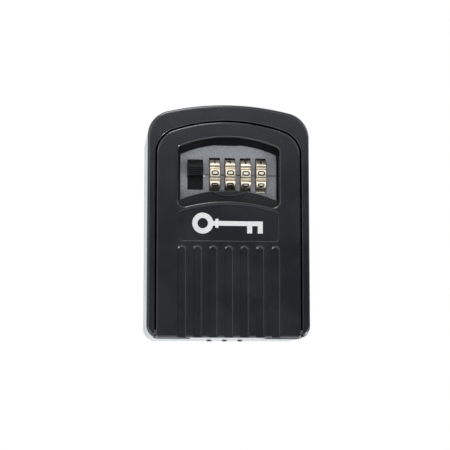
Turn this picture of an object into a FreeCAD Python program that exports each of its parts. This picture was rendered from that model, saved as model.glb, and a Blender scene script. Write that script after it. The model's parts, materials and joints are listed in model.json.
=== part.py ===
import FreeCAD, Part
import math
import os

# Wall-mounted key safe, in millimetres.
# Origin: centre of the back face. +X right, -Y away from the wall, +Z up.

# ---- driving dimensions ----
WIDTH = 84.0
HEIGHT = 121.0
DEPTH = 40.0
FIT = 0.05                   # radial clearance of running fits
PLAY = 0.3                   # clearance between sliding pieces and what they pass through
NUDGE = 1.0                  # how far a cutting body reaches past what it cuts

# casing
TOP_RADIUS = 135.0           # crown of the casing
SHOULDER_RADIUS = 13.4
FOOT_RADIUS = 6.5
FRONT_ROUND = 1.6            # softened outer edge of the front
SIDE_WALL = 4.1
BACK_WALL = 3.0
TOP_WALL = 3.6
BOTTOM_WALL = 3.2
RIM_APEX = 52.1              # lower edge of the top rim, on the centre line
RIM_RADIUS = 87.15
RIM_SHOULDER = 13.65
RIM_DEPTH = 8.8              # the latch tongues hook behind the rim
MOUTH_CORNER = 2.5
MOUTH_ROUND = 0.5
CAVITY_SHOULDER = 9.5

HOLE_SPACING_X = 44.0
HOLE_SPACING_Z = 72.0
HOLE_RADIUS = 2.5

RELIEF_HALF = 19.5           # shallow ramped finger relief under the front
RELIEF_FRONT, RELIEF_BACK = -34.0, -22.0
RELIEF_DEPTH = 0.8
STUD_PITCH = 8.1             # three small pips under the bottom wall
STUD_Y = -17.0
STUD_RADIUS = 1.35
STUD_DROP = 0.8
STUD_ROUND = 0.45

# hinge
PIN_Y, PIN_Z = -37.0, -57.1
PIN_RADIUS = 1.25
PIN_GRIP = 0.01              # the pin is held in the casing's side walls
PIN_LEFT = -WIDTH / 2 + 2.0  # bottom of the blind hole
PIN_RIGHT = WIDTH / 2 - 1.3
BARREL_RADIUS = 3.0
BARREL_ROUND = 0.6
BARREL_ROOM = 0.5

# key hook
HOOK_Z = 4.0
HOOK_WIRE = 1.0
HOOK_ROOT, HOOK_OUT = -1.2, -12.6
HOOK_BEND = 2.4
HOOK_TIP = 8.2
HOOK_BOSS_RADIUS = 4.0
HOOK_BOSS_HEIGHT = 1.5

# door
DOOR_GAP = 0.6
DOOR_HALF = WIDTH / 2 - SIDE_WALL - DOOR_GAP
DOOR_FOOT = PIN_Z - BARREL_RADIUS
DOOR_CORNER = 1.5
DOOR_ROUND = 1.0
SKIN = 2.0
DOOR_BACK = -24.5            # rear edge of the door's flange
TOP_FLANGE_FROM = 44.0       # above this height the flange stops ahead of the latch tongues
FLANGE_LIFT = 1.4            # the flange ends this far above the hinge pin

WINDOW_HALF = 26.3
WINDOW_APEX = 43.4
WINDOW_RADIUS = 65.0
WINDOW_BOTTOM = 10.1
WINDOW_BOTTOM_RADIUS = 84.0
WINDOW_SHOULDER = 2.6
WINDOW_CORNER = 3.6
WINDOW_ROUND = 0.9

PANEL_HALF = 25.7
PANEL_TOP, PANEL_BOTTOM = 8.5, -10.7
PANEL_RADIUS = 84.0
PANEL_CORNER = 1.5
PANEL_DEPTH = 0.45

FLUTES = 7
FLUTE_PITCH = 8.04
FLUTE_WIDTH = 4.7
FLUTE_TOP = -13.0
FLUTE_DEPTH = 0.85
FLUTE_ROUND = 0.8

GUIDE_THICK = 2.0            # ribs beside the shutter
GUIDE_TOP = 40.0
POST_X = 31.4                # screw posts cast on the inside of the door
POST_RADIUS = 2.3
PILOT_RADIUS = 1.0
HOUSING_POST_Z = (13.0, 34.0)
HOUSING_POST_BACK = -30.0
RETAINER_POST_Z = -15.5

# emblem in the panel
EMBLEM_Z = -1.6
EMBLEM_SINK = 0.02
RING_X, RING_RADIUS, RING_BORE = -13.5, 5.4, 2.7
BLADE = (-8.6, 17.5, 1.2)    # from x, to x, half height
COLLAR = (-7.0, -5.4, 2.3)
BIT_X = (9.4, 14.9)
BIT_WIDTH, BIT_DROP = 2.6, 5.0

# shutter
SHUTTER_FRONT, SHUTTER_BACK = -37.8, -36.7
SHUTTER_HALF = 27.9
SHUTTER_APEX = 15.9
SHUTTER_FOOT = -19.0
SHUTTER_CROWN = 64.0
LIP_HALF = 9.0
LIP_TOP, LIP_END, LIP_BELLY = 15.5, 14.8, 12.4
LIP_FRONT = -39.5
LIP_ROUND = 0.7
RETAINER_HALF, RETAINER_TOP = 34.0, 8.2
RETAINER_THICK = 0.8

# lock housing
HOUSING_FRONT, HOUSING_BACK = -36.4, -15.0
HOUSING_HALF = 28.0
HOUSING_APEX = 48.2
HOUSING_FOOT = 9.0
HOUSING_RADIUS = 80.0
HOUSING_SHOULDER = 4.0
HOUSING_CORNER = 3.0
HOUSING_WALL = 1.4
WEB_FRONT, WEB_BACK = -31.1, -30.0
RIB_THICK = 1.4              # bearing ribs for the shaft
RIB_X = (-11.5, 24.5)
RIB_FRONT, RIB_TOP = -28.0, 37.0
LUG_THICK = 2.0
COVER_THICK = 1.4
COVER_ROUND = 0.5
COVER_POSTS = ((-24.4, 13.0), (-24.4, 36.2), (21.9, 12.6), (21.9, 38.3))
COVER_POST_FRONT = -22.0
COVER_POST_RADIUS = 1.7
COVER_PILOT = 0.8
GUSSET_HALF = 0.8

# fascia
FASCIA_FRONT = -32.5
FASCIA_X = 0.5               # the plate sits a little to the right in its pocket
FASCIA_HALF = 25.3
FASCIA_APEX = 40.9
FASCIA_RADIUS = 62.0
FASCIA_FOOT = 10.8
FASCIA_ROUND = 0.4
SLIT_WIDTH = 5.6
SLIT_HEIGHT = 18.4
GROOVE_WIDTH, GROOVE_DEPTH = 0.6, 0.7
NOTCH_HALF, NOTCH_DEPTH = 6.0, 0.7
MARKER_RADIUS = 0.45
MARKER_PROUD = 0.05

# wheels, cams and their shaft
AXIS_Y, AXIS_Z = -25.9, 24.6
WHEEL_RADIUS = 10.4
WHEEL_WIDTH = 5.2
WHEEL_PITCH = 8.06
WHEEL_FIRST = -6.8           # centre of the left wheel
WHEEL_REST_TURN = (3.6, 4.4, 3.0, 4.0)   # degrees, each wheel settles a little differently
WHEEL_BEVEL = 0.25
PADS = 10
HOLLOW_RADIUS = 1.6
HOLLOW_REACH = 0.65          # the hollows' centres lie this far outside the rim
HUB_RADIUS = 2.4
HUB_LENGTH = 2.5             # to the left of the wheel's centre
CAM_RADIUS = 5.0
FLANGE_OFFSET = 2.76         # from the wheel's centre to the cam flange
FLANGE_THICK = 1.0
GATE_HALF = 1.0
TOOTH_RADIUS = 3.4
TOOTH_HALF = 0.6
TOOTH_SPAN = (-1.4, -0.2)    # along the axis, from the wheel's centre
TOOTH_ROOM = 0.2
SHAFT_RADIUS = 1.25
SHAFT_RIGHT = 25.1
COLLAR_RADIUS = 2.2
COLLAR_THICK = 0.7
LEVER_X = (-16.3, -14.3)
LEVER_BOSS = 2.6
LEVER_HALF = 2.0
LEVER_PROUD = 1.6
RESET_TRAVEL = 1.4
DETENT_THICK = 0.35

# release button and latch
BUTTON_X = -16.85
BUTTON_SLOT = 8.2
BUTTON_LOW, BUTTON_HIGH = 16.7, 32.7
THUMB_HALF = 3.85
THUMB_FRONT = -36.2
THUMB_TOP = 28.0             # the ridges start here and run down
RIDGES = 4
SKIRT_HALF, SKIRT_TOP = 4.9, 37.0
LATCH_FRONT, LATCH_BACK = -29.9, -28.5
LATCH_FOOT = BUTTON_LOW - 0.4
ARM_HALF = 4.6
BEAM_FOOT, BEAM_TOP = 40.5, 43.6
BEAM_RIGHT = 21.5
TONGUE_X = 13.5
TONGUE_WIDTH = 6.0
TONGUE_TOP = 54.8
TONGUE_BEVEL = 0.6
FENCE_TIP = 32.65
FENCE_THICK = 0.9
FENCE_HALF = 0.7
COMB_THICK = 1.0
RIVETS = ((BUTTON_X, 18.6), (BUTTON_X, 34.8), (2.0, 42.1), (15.5, 42.1))
RIVET_RADIUS = 0.9
RIVET_HEAD, RIVET_HEAD_HEIGHT = 1.5, 0.5

SPRING_X, SPRING_Y = -23.4, -26.0
SPRING_FOOT, SPRING_HEAD = 12.0, 30.0
SPRING_RADIUS = 1.6
SPRING_WIRE = 0.28
SPRING_TURNS = 8
SPRING_REST = 0.05           # air between the end coils and their seats
SEAT_HALF = 2.0
SEAT_THICK = 1.2

WHEELS = [WHEEL_FIRST + WHEEL_PITCH * i for i in range(4)]
LEFT_RIGHT = (-1, 1)

X_AXIS = FreeCAD.Vector(1, 0, 0)
Y_AXIS = FreeCAD.Vector(0, 1, 0)
Z_AXIS = FreeCAD.Vector(0, 0, 1)


# ---- helpers ----
def vec(x, y, z):
    return FreeCAD.Vector(x, y, z)


def box(x0, x1, y0, y1, z0, z1):
    return Part.makeBox(x1 - x0, y1 - y0, z1 - z0, vec(x0, y0, z0))


def rod_x(radius, x0, x1, y, z):
    return Part.makeCylinder(radius, x1 - x0, vec(x0, y, z), X_AXIS)


def rod_y(radius, y0, y1, x, z):
    return Part.makeCylinder(radius, y1 - y0, vec(x, y0, z), Y_AXIS)


def rod_z(radius, z0, z1, x, y):
    return Part.makeCylinder(radius, z1 - z0, vec(x, y, z0), Z_AXIS)


def prism_y(wire, y0, y1):
    """A face in the plane Y = 0 pushed from y0 to y1."""
    face = Part.Face(wire)
    face.translate(vec(0, y0, 0))
    return face.extrude(vec(0, y1 - y0, 0))


def arc(a, b, c):
    return Part.Arc(vec(a[0], 0, a[1]), vec(b[0], 0, b[1]), vec(c[0], 0, c[1])).toShape()


def line(a, b):
    return Part.LineSegment(vec(a[0], 0, a[1]), vec(b[0], 0, b[1])).toShape()


def on_circle(centre, radius, degrees):
    turn = math.radians(degrees)
    return centre[0] + radius * math.cos(turn), centre[1] + radius * math.sin(turn)


def arch(half, foot, apex, radius, shoulder, corner, foot_radius=0.0):
    """An upright outline with a crowned top, rounded shoulders and rounded feet.

    With foot_radius the bottom edge is crowned the same way; foot is then its height on the centre line.
    """
    crown = (0.0, apex - radius)
    sx = half - shoulder
    sz = crown[1] + math.sqrt((radius - shoulder) ** 2 - sx ** 2)
    meet = math.degrees(math.atan2(sz - crown[1], sx))
    top_right = on_circle(crown, radius, meet)
    fx = half - corner
    if foot_radius:
        low = (0.0, foot - foot_radius)
        fz = low[1] + math.sqrt((foot_radius + corner) ** 2 - fx ** 2)
        turn = math.degrees(math.atan2(fz - low[1], fx))
        foot_right = on_circle(low, foot_radius, turn)
        foot_mid = on_circle((fx, fz), corner, (turn - 180.0) / 2.0)
    else:
        fz = foot + corner
        foot_right = (fx, foot)
        foot_mid = on_circle((fx, fz), corner, -45.0)

    def mirror(p):
        return -p[0], p[1]

    shoulder_mid = on_circle((sx, sz), shoulder, meet / 2.0)
    edges = [
        arc(mirror(top_right), (0.0, apex), top_right),
        arc(top_right, shoulder_mid, (half, sz)),
        line((half, sz), (half, fz)),
        arc((half, fz), foot_mid, foot_right),
    ]
    if foot_radius:
        edges.append(arc(foot_right, (0.0, foot), mirror(foot_right)))
    else:
        edges.append(line(foot_right, mirror(foot_right)))
    edges += [
        arc(mirror(foot_right), mirror(foot_mid), (-half, fz)),
        line((-half, fz), (-half, sz)),
        arc((-half, sz), mirror(shoulder_mid), mirror(top_right)),
    ]
    return Part.Wire(edges)


def join(shapes):
    whole = shapes[0]
    for shape in shapes[1:]:
        whole = whole.fuse(shape)
    return whole.removeSplitter()


def edges_at(shape, y, keep=lambda extent: True):
    """The edges of a shape that lie in the plane Y = y."""
    found = []
    for edge in shape.Edges:
        extent = edge.BoundBox
        if abs(extent.YMin - y) < 1e-4 and abs(extent.YMax - y) < 1e-4 and keep(extent):
            found.append(edge)
    return found


def end_rings(rod):
    """The two round end edges of a rod along X."""
    return [e for e in rod.Edges if e.BoundBox.XLength < 1e-4]


def export(name, shape):
    """Write one node; a group of loose solids stays a compound."""
    solids = shape.Solids
    out = solids[0] if len(solids) == 1 else Part.makeCompound(solids)
    print("%-20s solids %d volume %.1f valid %s" % (name, len(solids), out.Volume, out.isValid()))
    out.exportStep("parts/%s.step" % name)


def screw(x, z, head_y, tip_y, head_radius, shank_radius, head_height):
    """A pan-head screw driven towards -Y, with a cross recess in its head."""
    head = rod_y(head_radius, head_y - head_height, head_y, x, z)
    head = head.makeFillet(head_height * 0.4, edges_at(head, head_y))
    shank = rod_y(shank_radius, tip_y, head_y - head_height, x, z)
    slot, thin = head_radius * 0.62, 0.22
    depth = head_height * 0.55
    for half_x, half_z in ((slot, thin), (thin, slot)):
        head = head.cut(box(x - half_x, x + half_x, head_y - depth, head_y + NUDGE, z - half_z, z + half_z))
    return head.fuse(shank)


# ---- casing ----
def rear_casing():
    half, top, foot = WIDTH / 2, HEIGHT / 2, -HEIGHT / 2
    body = prism_y(arch(half, foot, top, TOP_RADIUS, SHOULDER_RADIUS, FOOT_RADIUS), -DEPTH, 0)
    body = body.makeFillet(FRONT_ROUND, edges_at(body, -DEPTH))
    inner = half - SIDE_WALL
    floor = foot + BOTTOM_WALL
    rim_back = -DEPTH + RIM_DEPTH
    mouth = arch(inner, floor, RIM_APEX, RIM_RADIUS, RIM_SHOULDER, MOUTH_CORNER)
    body = body.cut(prism_y(mouth, -DEPTH - NUDGE, rim_back))
    # the space behind the rim reaches higher than the mouth
    cavity = arch(inner, floor, top - TOP_WALL, TOP_RADIUS - TOP_WALL, CAVITY_SHOULDER, MOUTH_CORNER)
    body = body.cut(prism_y(cavity, rim_back, -BACK_WALL))
    # room for the hinge barrel ahead of the bottom wall
    barrel_back = PIN_Y + BARREL_RADIUS + BARREL_ROOM
    body = body.cut(box(-inner, inner, -DEPTH - NUDGE, barrel_back, foot - NUDGE, floor + MOUTH_CORNER))
    lip = edges_at(body, -DEPTH, lambda e: e.XMin > -inner - 0.1 and e.XMax < inner + 0.1)
    body = body.makeFillet(MOUTH_ROUND, lip)
    for x in (-HOLE_SPACING_X / 2, HOLE_SPACING_X / 2):
        for z in (-HOLE_SPACING_Z / 2, HOLE_SPACING_Z / 2):
            body = body.cut(rod_y(HOLE_RADIUS, -BACK_WALL - NUDGE, NUDGE, x, z))
    body = body.cut(rod_x(PIN_RADIUS + PIN_GRIP, PIN_LEFT, half + NUDGE, PIN_Y, PIN_Z))
    boss = rod_y(HOOK_BOSS_RADIUS, -BACK_WALL - HOOK_BOSS_HEIGHT, -BACK_WALL / 2, 0, HOOK_Z)
    body = body.fuse(boss)
    body = body.cut(rod_y(HOOK_WIRE + PIN_GRIP, -BACK_WALL - HOOK_BOSS_HEIGHT - NUDGE, -1.0, 0, HOOK_Z))
    ramp = [(RELIEF_FRONT, foot + RELIEF_DEPTH), (RELIEF_BACK, foot), (RELIEF_BACK, foot - NUDGE),
            (RELIEF_FRONT, foot - NUDGE), (RELIEF_FRONT, foot + RELIEF_DEPTH)]
    relief = Part.Face(Part.makePolygon([vec(-RELIEF_HALF, y, z) for y, z in ramp]))
    body = body.cut(relief.extrude(vec(2 * RELIEF_HALF, 0, 0)))
    for n in (-1, 0, 1):
        stud = rod_z(STUD_RADIUS, foot - STUD_DROP, foot + 2 * NUDGE, n * STUD_PITCH, STUD_Y)
        tip = [e for e in stud.Edges if abs(e.BoundBox.ZMax - stud.BoundBox.ZMin) < 1e-4]
        body = body.fuse(stud.makeFillet(STUD_ROUND, tip))
    return body.removeSplitter()


def hinge_pin():
    pin = rod_x(PIN_RADIUS, PIN_LEFT + 0.1, PIN_RIGHT, PIN_Y, PIN_Z)
    return pin.makeChamfer(0.25, end_rings(pin))


def key_hook():
    """A wire that stands out of the back wall and turns up at its end."""
    start = HOOK_OUT + HOOK_BEND
    half_turn = math.pi / 4
    path = Part.Wire([
        Part.LineSegment(vec(0, HOOK_ROOT, HOOK_Z), vec(0, start, HOOK_Z)).toShape(),
        Part.Arc(
            vec(0, start, HOOK_Z),
            vec(0, start - HOOK_BEND * math.sin(half_turn), HOOK_Z + HOOK_BEND * (1 - math.cos(half_turn))),
            vec(0, HOOK_OUT, HOOK_Z + HOOK_BEND),
        ).toShape(),
        Part.LineSegment(vec(0, HOOK_OUT, HOOK_Z + HOOK_BEND), vec(0, HOOK_OUT, HOOK_TIP)).toShape(),
    ])
    section = Part.Wire([Part.makeCircle(HOOK_WIRE, vec(0, HOOK_ROOT, HOOK_Z), Y_AXIS)])
    hook = path.makePipeShell([section], True, False)
    return Part.Solid(hook) if hook.ShapeType != "Solid" else hook


# ---- door ----
def screw_posts():
    """(x, z, rear end) of the posts cast on the door's inner face."""
    housing = [(side * POST_X, z, HOUSING_POST_BACK) for side in LEFT_RIGHT for z in HOUSING_POST_Z]
    retainer = [(side * POST_X, RETAINER_POST_Z, HOUSING_FRONT) for side in LEFT_RIGHT]
    return housing + retainer


def tongue_slots():
    """The openings that the two latch tongues pass through."""
    half = TONGUE_WIDTH / 2 + PLAY
    return [
        box(side * TONGUE_X - half, side * TONGUE_X + half, LATCH_FRONT - PLAY, LATCH_BACK + PLAY,
            BEAM_FOOT, HOUSING_APEX + NUDGE)
        for side in LEFT_RIGHT
    ]


def flute(x):
    """A round-ended shallow groove whose walls run into its floor in a curve."""
    half, floor = FLUTE_WIDTH / 2, -DEPTH + FLUTE_DEPTH
    top = FLUTE_TOP - half
    bar = box(x - half, x + half, -DEPTH - NUDGE, floor, DOOR_FOOT - 2 * NUDGE, top)
    bar = bar.fuse(rod_y(half, -DEPTH - NUDGE, floor, x, top)).removeSplitter()
    return bar.makeFillet(FLUTE_ROUND, edges_at(bar, floor))


def door_shell():
    radius, shoulder = RIM_RADIUS - DOOR_GAP, RIM_SHOULDER - DOOR_GAP
    apex = RIM_APEX - DOOR_GAP
    body = prism_y(arch(DOOR_HALF, DOOR_FOOT, apex, radius, shoulder, DOOR_CORNER), -DEPTH, DOOR_BACK)
    body = body.makeFillet(DOOR_ROUND, edges_at(body, -DEPTH))
    inner = arch(DOOR_HALF - SKIN, PIN_Z + SKIN, apex - SKIN, radius - SKIN, shoulder - SKIN, MOUTH_ROUND)
    body = body.cut(prism_y(inner, -DEPTH + SKIN, DOOR_BACK + NUDGE))
    # the flange stops short of the hinge below and of the latch tongues above
    wide = DOOR_HALF + NUDGE
    body = body.cut(box(-wide, wide, PIN_Y, 0, DOOR_FOOT - NUDGE, PIN_Z + FLANGE_LIFT))
    body = body.cut(box(-wide, wide, LATCH_FRONT - PLAY, 0, TOP_FLANGE_FROM, HEIGHT))
    barrel = rod_x(BARREL_RADIUS, -DOOR_HALF, DOOR_HALF, PIN_Y, PIN_Z)
    body = body.fuse(barrel.makeFillet(BARREL_ROUND, end_rings(barrel)))
    window = arch(WINDOW_HALF, WINDOW_BOTTOM, WINDOW_APEX, WINDOW_RADIUS, WINDOW_SHOULDER, WINDOW_CORNER,
                  WINDOW_BOTTOM_RADIUS)
    body = body.cut(prism_y(window, -DEPTH - NUDGE, -DEPTH + SKIN + NUDGE))
    near, above = WINDOW_HALF + 0.1, WINDOW_APEX + 0.5
    rim = edges_at(body, -DEPTH, lambda e: -near < e.XMin and e.XMax < near and 0 < e.ZMin and e.ZMax < above)
    body = body.makeFillet(WINDOW_ROUND, rim)
    panel = arch(PANEL_HALF, PANEL_BOTTOM, PANEL_TOP, PANEL_RADIUS, PANEL_CORNER, PANEL_CORNER)
    body = body.cut(prism_y(panel, -DEPTH - NUDGE, -DEPTH + PANEL_DEPTH))
    for n in range(FLUTES):
        body = body.cut(flute((n - (FLUTES - 1) / 2) * FLUTE_PITCH))
    skin_back = -DEPTH + SKIN
    for side in LEFT_RIGHT:
        near, far = sorted((side * (SHUTTER_HALF + PLAY), side * (SHUTTER_HALF + PLAY + GUIDE_THICK)))
        body = body.fuse(box(near, far, skin_back - 0.1, HOUSING_FRONT, SHUTTER_FOOT - NUDGE, GUIDE_TOP))
    for x, z, back in screw_posts():
        body = body.fuse(rod_y(POST_RADIUS, skin_back - 0.1, back, x, z))
        body = body.cut(rod_y(PILOT_RADIUS, skin_back, back + NUDGE, x, z))
    body = body.cut(rod_x(PIN_RADIUS + FIT, -wide, wide, PIN_Y, PIN_Z))
    return body.removeSplitter()


def key_emblem():
    """A key lying on its side: a ring, a blade, a collar and two bits."""
    y0, y1 = -DEPTH + EMBLEM_SINK, -DEPTH + PANEL_DEPTH
    ring = rod_y(RING_RADIUS, y0, y1, RING_X, EMBLEM_Z)
    ring = ring.cut(rod_y(RING_BORE, y0 - NUDGE, y1 + NUDGE, RING_X, EMBLEM_Z))
    bars = [box(x0, x1, y0, y1, EMBLEM_Z - half, EMBLEM_Z + half) for x0, x1, half in (BLADE, COLLAR)]
    bits = [box(x, x + BIT_WIDTH, y0, y1, EMBLEM_Z - BIT_DROP, EMBLEM_Z) for x in BIT_X]
    return join([ring] + bars + bits)


def dial_fascia():
    front, back = FASCIA_FRONT - NUDGE, WEB_FRONT + NUDGE
    outline = arch(FASCIA_HALF, FASCIA_FOOT, FASCIA_APEX, FASCIA_RADIUS, 1.2, 1.0)
    body = prism_y(outline, FASCIA_FRONT, WEB_FRONT)
    body = body.makeFillet(FASCIA_ROUND, edges_at(body, FASCIA_FRONT))
    body.translate(vec(FASCIA_X, 0, 0))
    low, high = AXIS_Z - SLIT_HEIGHT / 2, AXIS_Z + SLIT_HEIGHT / 2
    for x in WHEELS:
        body = body.cut(box(x - SLIT_WIDTH / 2, x + SLIT_WIDTH / 2, front, back, low, high))
    slot = BUTTON_SLOT / 2
    body = body.cut(box(BUTTON_X - slot, BUTTON_X + slot, front, back, BUTTON_LOW, BUTTON_HIGH))
    body = body.cut(box(-NOTCH_HALF, NOTCH_HALF, front, back, FASCIA_APEX - NOTCH_DEPTH, FASCIA_APEX + NUDGE))
    # index groove, level with the wheels' axis
    body = body.cut(box(BUTTON_X + slot + NUDGE, HOUSING_HALF, front, FASCIA_FRONT + GROOVE_DEPTH,
                        AXIS_Z - GROOVE_WIDTH / 2, AXIS_Z + GROOVE_WIDTH / 2))
    return body.cut(index_marker())


def index_marker():
    x, z = BUTTON_X + BUTTON_SLOT / 2 + MARKER_RADIUS + 0.15, AXIS_Z - GROOVE_WIDTH
    return rod_y(MARKER_RADIUS, FASCIA_FRONT - MARKER_PROUD, FASCIA_FRONT + MARKER_RADIUS, x, z)


def housing_arch(inset):
    return arch(HOUSING_HALF - inset, HOUSING_FOOT + inset, HOUSING_APEX - inset, HOUSING_RADIUS - inset,
                HOUSING_SHOULDER - inset, HOUSING_CORNER - inset)


def mechanism_housing():
    front, back = WEB_FRONT - NUDGE, WEB_BACK + NUDGE
    body = prism_y(housing_arch(0), HOUSING_FRONT, HOUSING_BACK)
    body = body.cut(prism_y(housing_arch(HOUSING_WALL), HOUSING_FRONT - NUDGE, WEB_FRONT))
    body = body.cut(prism_y(housing_arch(HOUSING_WALL), WEB_BACK, HOUSING_BACK + NUDGE))
    # the web is open behind the button, the wheels and the last cam
    body = body.cut(box(-22.2, -11.5, front, back, 10.5, 37.4))
    body = body.cut(box(-10.0, 20.8, front, back, 14.2, 35.0))
    body = body.cut(box(20.7, 25.0, front, back, 19.2, 30.0))
    floor = HOUSING_FOOT + HOUSING_WALL / 2
    for x in RIB_X:
        body = body.fuse(box(x - RIB_THICK / 2, x + RIB_THICK / 2, RIB_FRONT, HOUSING_BACK, floor, RIB_TOP))
    body = body.cut(rod_x(SHAFT_RADIUS + FIT, -HOUSING_HALF / 2, HOUSING_HALF - 2.5, AXIS_Y, AXIS_Z))
    # screw lugs at the sides
    for x, z, rear in screw_posts()[:4]:
        x0, x1 = sorted((math.copysign(HOUSING_HALF - NUDGE, x), x))
        lug = rod_y(POST_RADIUS, rear, rear + LUG_THICK, x, z)
        lug = lug.fuse(box(x0, x1, rear, rear + LUG_THICK, z - POST_RADIUS, z + POST_RADIUS))
        body = body.fuse(lug.cut(rod_y(1.35, rear - NUDGE, rear + LUG_THICK + NUDGE, x, z)))
    body = body.cut(prism_y(housing_arch(HOUSING_WALL), WEB_BACK, RIB_FRONT - 0.05))
    # cover posts, each tied to the nearest wall by a gusset
    for x, z in COVER_POSTS:
        post = rod_y(COVER_POST_RADIUS, COVER_POST_FRONT, HOUSING_BACK, x, z)
        span = (x - GUSSET_HALF, x + GUSSET_HALF)
        if x < 0:
            gusset = box(-HOUSING_HALF + 0.5, x, COVER_POST_FRONT, HOUSING_BACK,
                         z - GUSSET_HALF, z + GUSSET_HALF)
        elif z < AXIS_Z:
            gusset = box(span[0], span[1], COVER_POST_FRONT, HOUSING_BACK, floor, z)
        else:
            gusset = box(span[0], span[1], COVER_POST_FRONT, HOUSING_BACK, z, z + 6.0)
        body = body.fuse(post).fuse(gusset)
        body = body.cut(rod_y(COVER_PILOT, COVER_POST_FRONT + 0.6, HOUSING_BACK + NUDGE, x, z))
    for slot in tongue_slots():
        body = body.cut(slot)
    # seat for the latch spring
    seat = SEAT_HALF + 0.6
    body = body.fuse(box(SPRING_X - seat, SPRING_X + seat, SPRING_Y - 2.4, SPRING_Y + 6.0, floor, SPRING_FOOT))
    return body.removeSplitter()


def mechanism_cover():
    outline = arch(HOUSING_HALF - 0.3, HOUSING_FOOT + 0.3, HOUSING_APEX - 0.8, HOUSING_RADIUS,
                   HOUSING_SHOULDER - 0.6, HOUSING_CORNER - 0.3)
    back = HOUSING_BACK + COVER_THICK
    body = prism_y(outline, HOUSING_BACK, back)
    body = body.makeFillet(COVER_ROUND, edges_at(body, back))
    for x, z in COVER_POSTS:
        body = body.cut(rod_y(1.05, HOUSING_BACK - NUDGE, back + NUDGE, x, z))
    half = LEVER_HALF + 0.6
    return body.cut(box(LEVER_X[0] - PLAY, LEVER_X[1] + RESET_TRAVEL + PLAY, HOUSING_BACK - NUDGE, back + NUDGE,
                        AXIS_Z - half, AXIS_Z + half))


def wheel_separators():
    """A bar on the cover with a tooth between each two wheels."""
    back, front = HOUSING_BACK, HOUSING_BACK - 1.2
    shapes = [box(WHEELS[0], WHEELS[3], front, back, AXIS_Z - 13.2, AXIS_Z - 11.2)]
    for x in WHEELS[:3]:
        left = x + WHEEL_WIDTH / 2 + 0.2
        right = x + WHEEL_PITCH - WHEEL_WIDTH / 2 - 0.2
        shapes.append(box(left, right, AXIS_Y + CAM_RADIUS + 0.5, back, AXIS_Z - 5, AXIS_Z + 5))
        shapes.append(box(left, right, front, back, AXIS_Z - 12, AXIS_Z - 4))
    return join(shapes)


def detent_spring():
    """A leaf spring under the cover, one finger on each wheel's rear upper side."""
    front = HOUSING_BACK - DETENT_THICK
    shapes = [box(WHEELS[0] - 2.0, WHEELS[3] + 2.0, front, HOUSING_BACK, AXIS_Z + 11.2, AXIS_Z + 14.6)]
    for x in WHEELS:
        shapes.append(box(x - 1.4, x + 1.4, front, HOUSING_BACK, AXIS_Z + 4.0, AXIS_Z + 11.4))
        shapes.append(box(x - 0.5, x + 0.5, front - 0.75, front, AXIS_Z + 4.0, AXIS_Z + 4.7))
    return join(shapes)


# ---- shutter ----
def dial_shutter():
    plate = arch(SHUTTER_HALF, SHUTTER_FOOT, SHUTTER_APEX, SHUTTER_CROWN, 1.0, 1.0)
    body = prism_y(plate, SHUTTER_FRONT, SHUTTER_BACK)
    # thumb lip: an eyelid-shaped bar, nearly flat on top and bellied below
    lip = Part.Wire([
        arc((-LIP_HALF, LIP_END), (0.0, LIP_TOP), (LIP_HALF, LIP_END)),
        arc((LIP_HALF, LIP_END), (0.0, LIP_BELLY), (-LIP_HALF, LIP_END)),
    ])
    bar = prism_y(lip, LIP_FRONT, SHUTTER_FRONT + 0.2)
    bar = bar.makeFillet(LIP_ROUND, edges_at(bar, LIP_FRONT))
    return body.fuse(bar).removeSplitter()


def shutter_retainer():
    plate = box(-RETAINER_HALF, RETAINER_HALF, HOUSING_FRONT, HOUSING_FRONT + RETAINER_THICK,
                SHUTTER_FOOT - 1.2, RETAINER_TOP)
    for x, z, back in screw_posts()[4:]:
        plate = plate.cut(rod_y(1.2, back - NUDGE, back + NUDGE + RETAINER_THICK, x, z))
    return plate


# ---- latch ----
def release_button():
    skirt = box(BUTTON_X - SKIRT_HALF, BUTTON_X + SKIRT_HALF, WEB_FRONT + FIT, LATCH_FRONT,
                LATCH_FOOT, SKIRT_TOP)
    stem = box(BUTTON_X - THUMB_HALF, BUTTON_X + THUMB_HALF, FASCIA_FRONT + 0.3, WEB_FRONT + 0.1,
               BUTTON_HIGH - 10.4, BUTTON_HIGH - 0.4)
    # thumb piece: a smooth round brow over four fine ridges
    front, top = THUMB_FRONT, THUMB_TOP
    root = FASCIA_FRONT + 0.6
    profile = [(root, top + 3.4), (front + 2.6, top + 3.0), (front + 1.0, top + 2.0), (front, top + 0.6)]
    profile.append((front, top))
    for n in range(RIDGES):
        z = top - n
        profile += [(front + 0.45, z - 0.25), (front + 0.45, z - 0.45), (front, z - 0.6), (front, z - 1.0)]
    foot = top - RIDGES
    profile += [(front + 0.8, foot - 0.6), (root, foot - 1.1)]
    points = [vec(BUTTON_X - THUMB_HALF, y, z) for y, z in profile]
    thumb = Part.Face(Part.makePolygon(points + points[:1])).extrude(vec(2 * THUMB_HALF, 0, 0))
    body = join([skirt, stem, thumb])
    for x, z in RIVETS[:2]:
        body = body.cut(rod_y(RIVET_RADIUS, WEB_FRONT + PLAY, LATCH_FRONT + NUDGE, x, z))
    return body


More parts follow.
